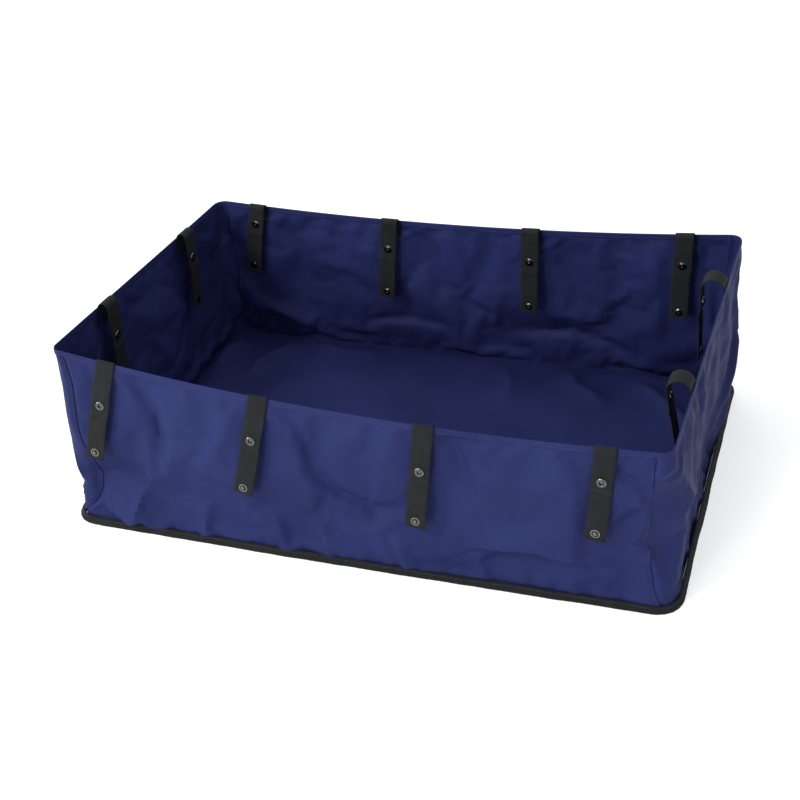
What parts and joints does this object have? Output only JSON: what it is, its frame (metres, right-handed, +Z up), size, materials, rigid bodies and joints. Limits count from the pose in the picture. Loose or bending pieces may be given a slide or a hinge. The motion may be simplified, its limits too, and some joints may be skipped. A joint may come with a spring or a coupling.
{
  "type": "fruit picking bag",
  "caption": "Open-top rectangular fabric picking bag with a bound floor seam and webbing straps that press-stud round the rails of a cart or picking frame.",
  "frame": {"origin": "middle of the footprint, on the surface that the bag stands on", "axes": "+X along the bag's length, -Y towards the front wall, +Z up"},
  "size_m": [0.8108, 0.5302, 0.2614],
  "materials": {
    "bag_fabric": "navy coated woven polyester, soft sheen",
    "webbing": "black flat-weave polyester webbing, matte",
    "binding": "black woven binding tape, matte",
    "snap_metal": "black lacquered press studs, worn bright at their edges"
  },
  "bodies": {
    "bag": {"front_panel": "bag_fabric", "back_panel": "bag_fabric", "left_panel": "bag_fabric", "right_panel": "bag_fabric", "floor_panel": "bag_fabric", "bottom_binding": "binding", "strap_anchors": "webbing", "strap_bends": "webbing"},
    "front_strap_1_upper": {"front_strap_1_upper": "webbing", "front_strap_1_upper_snap": "snap_metal"},
    "front_strap_1_lower": {"front_strap_1_lower": "webbing", "front_strap_1_lower_snap": "snap_metal"},
    "front_strap_2_upper": {"front_strap_2_upper": "webbing", "front_strap_2_upper_snap": "snap_metal"},
    "front_strap_2_lower": {"front_strap_2_lower": "webbing", "front_strap_2_lower_snap": "snap_metal"},
    "front_strap_3_upper": {"front_strap_3_upper": "webbing", "front_strap_3_upper_snap": "snap_metal"},
    "front_strap_3_lower": {"front_strap_3_lower": "webbing", "front_strap_3_lower_snap": "snap_metal"},
    "front_strap_4_upper": {"front_strap_4_upper": "webbing", "front_strap_4_upper_snap": "snap_metal"},
    "front_strap_4_lower": {"front_strap_4_lower": "webbing", "front_strap_4_lower_snap": "snap_metal"},
    "back_strap_1_upper": {"back_strap_1_upper": "webbing", "back_strap_1_upper_snap": "snap_metal"},
    "back_strap_1_lower": {"back_strap_1_lower": "webbing", "back_strap_1_lower_snap": "snap_metal"},
    "back_strap_2_upper": {"back_strap_2_upper": "webbing", "back_strap_2_upper_snap": "snap_metal"},
    "back_strap_2_lower": {"back_strap_2_lower": "webbing", "back_strap_2_lower_snap": "snap_metal"},
    "back_strap_3_upper": {"back_strap_3_upper": "webbing", "back_strap_3_upper_snap": "snap_metal"},
    "back_strap_3_lower": {"back_strap_3_lower": "webbing", "back_strap_3_lower_snap": "snap_metal"},
    "back_strap_4_upper": {"back_strap_4_upper": "webbing", "back_strap_4_upper_snap": "snap_metal"},
    "back_strap_4_lower": {"back_strap_4_lower": "webbing", "back_strap_4_lower_snap": "snap_metal"},
    "left_strap_1_upper": {"left_strap_1_upper": "webbing", "left_strap_1_upper_snap": "snap_metal"},
    "left_strap_1_lower": {"left_strap_1_lower": "webbing", "left_strap_1_lower_snap": "snap_metal"},
    "left_strap_2_upper": {"left_strap_2_upper": "webbing", "left_strap_2_upper_snap": "snap_metal"},
    "left_strap_2_lower": {"left_strap_2_lower": "webbing", "left_strap_2_lower_snap": "snap_metal"},
    "right_strap_1_upper": {"right_strap_1_upper": "webbing", "right_strap_1_upper_snap": "snap_metal"},
    "right_strap_1_lower": {"right_strap_1_lower": "webbing", "right_strap_1_lower_snap": "snap_metal"},
    "right_strap_2_upper": {"right_strap_2_upper": "webbing", "right_strap_2_upper_snap": "snap_metal"},
    "right_strap_2_lower": {"right_strap_2_lower": "webbing", "right_strap_2_lower_snap": "snap_metal"}
  },
  "joints": [
    {"name": "front_strap_1_swing", "type": "hinge", "parent": "bag", "child": "front_strap_1_upper", "pos_m": [-0.30901, -0.23373, 0.24447], "axis": [-0.9939, 0.0175, 0.1088], "range_deg": [0, 179], "deforming": ["strap_bends"]},
    {"name": "front_strap_1_fold", "type": "hinge", "parent": "front_strap_1_upper", "child": "front_strap_1_lower", "pos_m": [-0.33467, -0.2503, 0.15061], "axis": [-0.9656, 0.0363, 0.2576], "range_deg": [0, 179]},
    {"name": "front_strap_2_swing", "type": "hinge", "parent": "bag", "child": "front_strap_2_upper", "pos_m": [-0.102, -0.23578, 0.22735], "axis": [-0.9984, 0.0029, 0.0558], "range_deg": [0, 179], "deforming": ["strap_bends"]},
    {"name": "front_strap_2_fold", "type": "hinge", "parent": "front_strap_2_upper", "child": "front_strap_2_lower", "pos_m": [-0.12651, -0.24976, 0.13277], "axis": [-0.9686, 0.0217, 0.2478], "range_deg": [0, 179]},
    {"name": "front_strap_3_swing", "type": "hinge", "parent": "bag", "child": "front_strap_3_upper", "pos_m": [0.107, -0.23525, 0.22133], "axis": [-1, -0.0073, 0.0018], "range_deg": [0, 179], "deforming": ["strap_bends"]},
    {"name": "front_strap_3_fold", "type": "hinge", "parent": "front_strap_3_upper", "child": "front_strap_3_lower", "pos_m": [0.09456, -0.24666, 0.12408], "axis": [-0.9919, 0.0013, 0.1268], "range_deg": [0, 179]},
    {"name": "front_strap_4_swing", "type": "hinge", "parent": "bag", "child": "front_strap_4_upper", "pos_m": [0.31801, -0.23305, 0.2267], "axis": [-0.9985, -0.0127, -0.0527], "range_deg": [0, 179], "deforming": ["strap_bends"]},
    {"name": "front_strap_4_fold", "type": "hinge", "parent": "front_strap_4_upper", "child": "front_strap_4_lower", "pos_m": [0.31051, -0.24094, 0.14672], "axis": [-0.9955, -0.007, 0.094], "range_deg": [0, 179]},
    {"name": "back_strap_1_swing", "type": "hinge", "parent": "bag", "child": "back_strap_1_upper", "pos_m": [-0.32022, 0.22307, 0.22893], "axis": [-0.9993, 0.0326, 0.0165], "range_deg": [0, 179], "deforming": ["strap_bends"]},
    {"name": "back_strap_1_fold", "type": "hinge", "parent": "back_strap_1_upper", "child": "back_strap_1_lower", "pos_m": [-0.33208, 0.22092, 0.16827], "axis": [0.9811, -0.0321, -0.1908], "range_deg": [0, 179]},
    {"name": "back_strap_2_swing", "type": "hinge", "parent": "bag", "child": "back_strap_2_upper", "pos_m": [-0.10706, 0.21864, 0.22867], "axis": [-0.9999, 0.0098, -0.0141], "range_deg": [0, 179], "deforming": ["strap_bends"]},
    {"name": "back_strap_2_fold", "type": "hinge", "parent": "back_strap_2_upper", "child": "back_strap_2_lower", "pos_m": [-0.11589, 0.21624, 0.15137], "axis": [0.9935, -0.0098, -0.1132], "range_deg": [0, 179]},
    {"name": "back_strap_3_swing", "type": "hinge", "parent": "bag", "child": "back_strap_3_upper", "pos_m": [0.10307, 0.21864, 0.2348], "axis": [-0.999, -0.0098, -0.0443], "range_deg": [0, 179], "deforming": ["strap_bends"]},
    {"name": "back_strap_3_fold", "type": "hinge", "parent": "back_strap_3_upper", "child": "back_strap_3_lower", "pos_m": [0.09957, 0.21607, 0.15409], "axis": [0.999, 0.0098, -0.0436], "range_deg": [0, 179]},
    {"name": "back_strap_4_swing", "type": "hinge", "parent": "bag", "child": "back_strap_4_upper", "pos_m": [0.31521, 0.223, 0.24744], "axis": [-0.9967, -0.0319, -0.0745], "range_deg": [0, 179], "deforming": ["strap_bends"]},
    {"name": "back_strap_4_fold", "type": "hinge", "parent": "back_strap_4_upper", "child": "back_strap_4_lower", "pos_m": [0.31231, 0.22022, 0.16971], "axis": [0.9988, 0.0317, -0.0384], "range_deg": [0, 179]},
    {"name": "left_strap_1_swing", "type": "hinge", "parent": "bag", "child": "left_strap_1_upper", "pos_m": [-0.38011, -0.108, 0.24611], "axis": [0.0001, -0.9989, 0.0473], "range_deg": [0, 179], "deforming": ["strap_bends"]},
    {"name": "left_strap_1_fold", "type": "hinge", "parent": "left_strap_1_upper", "child": "left_strap_1_lower", "pos_m": [-0.38083, -0.10801, 0.16402], "axis": [0.0032, 1, -0.0001], "range_deg": [0, 179]},
    {"name": "left_strap_2_swing", "type": "hinge", "parent": "bag", "child": "left_strap_2_upper", "pos_m": [-0.38044, 0.10803, 0.23589], "axis": [0.003, -0.9989, 0.0473], "range_deg": [0, 179], "deforming": ["strap_bends"]},
    {"name": "left_strap_2_fold", "type": "hinge", "parent": "left_strap_2_upper", "child": "left_strap_2_lower", "pos_m": [-0.38034, 0.10802, 0.16577], "axis": [0.0003, 1, -0.0001], "range_deg": [0, 179]},
    {"name": "right_strap_1_swing", "type": "hinge", "parent": "bag", "child": "right_strap_1_upper", "pos_m": [0.37394, -0.10805, 0.23589], "axis": [-0.003, 0.9989, 0.0473], "range_deg": [0, 179], "deforming": ["strap_bends"]},
    {"name": "right_strap_1_fold", "type": "hinge", "parent": "right_strap_1_upper", "child": "right_strap_1_lower", "pos_m": [0.37121, -0.10799, 0.18513], "axis": [-0.0053, -1, -0.0007], "range_deg": [0, 179]},
    {"name": "right_strap_2_swing", "type": "hinge", "parent": "bag", "child": "right_strap_2_upper", "pos_m": [0.37361, 0.108, 0.24611], "axis": [-0.0001, 0.9989, 0.0473], "range_deg": [0, 179], "deforming": ["strap_bends"]},
    {"name": "right_strap_2_fold", "type": "hinge", "parent": "right_strap_2_upper", "child": "right_strap_2_lower", "pos_m": [0.36211, 0.108, 0.18459], "axis": [0.0001, -1, 0], "range_deg": [0, 179]}
  ],
  "couplings": [
    {"joint": "back_strap_1_fold", "follows": "back_strap_1_swing", "ratio": 1},
    {"joint": "back_strap_2_fold", "follows": "back_strap_2_swing", "ratio": 1},
    {"joint": "back_strap_3_fold", "follows": "back_strap_3_swing", "ratio": 1},
    {"joint": "back_strap_4_fold", "follows": "back_strap_4_swing", "ratio": 1},
    {"joint": "left_strap_1_fold", "follows": "left_strap_1_swing", "ratio": 1},
    {"joint": "left_strap_2_fold", "follows": "left_strap_2_swing", "ratio": 1},
    {"joint": "right_strap_1_fold", "follows": "right_strap_1_swing", "ratio": 1},
    {"joint": "right_strap_2_fold", "follows": "right_strap_2_swing", "ratio": 1}
  ]
}
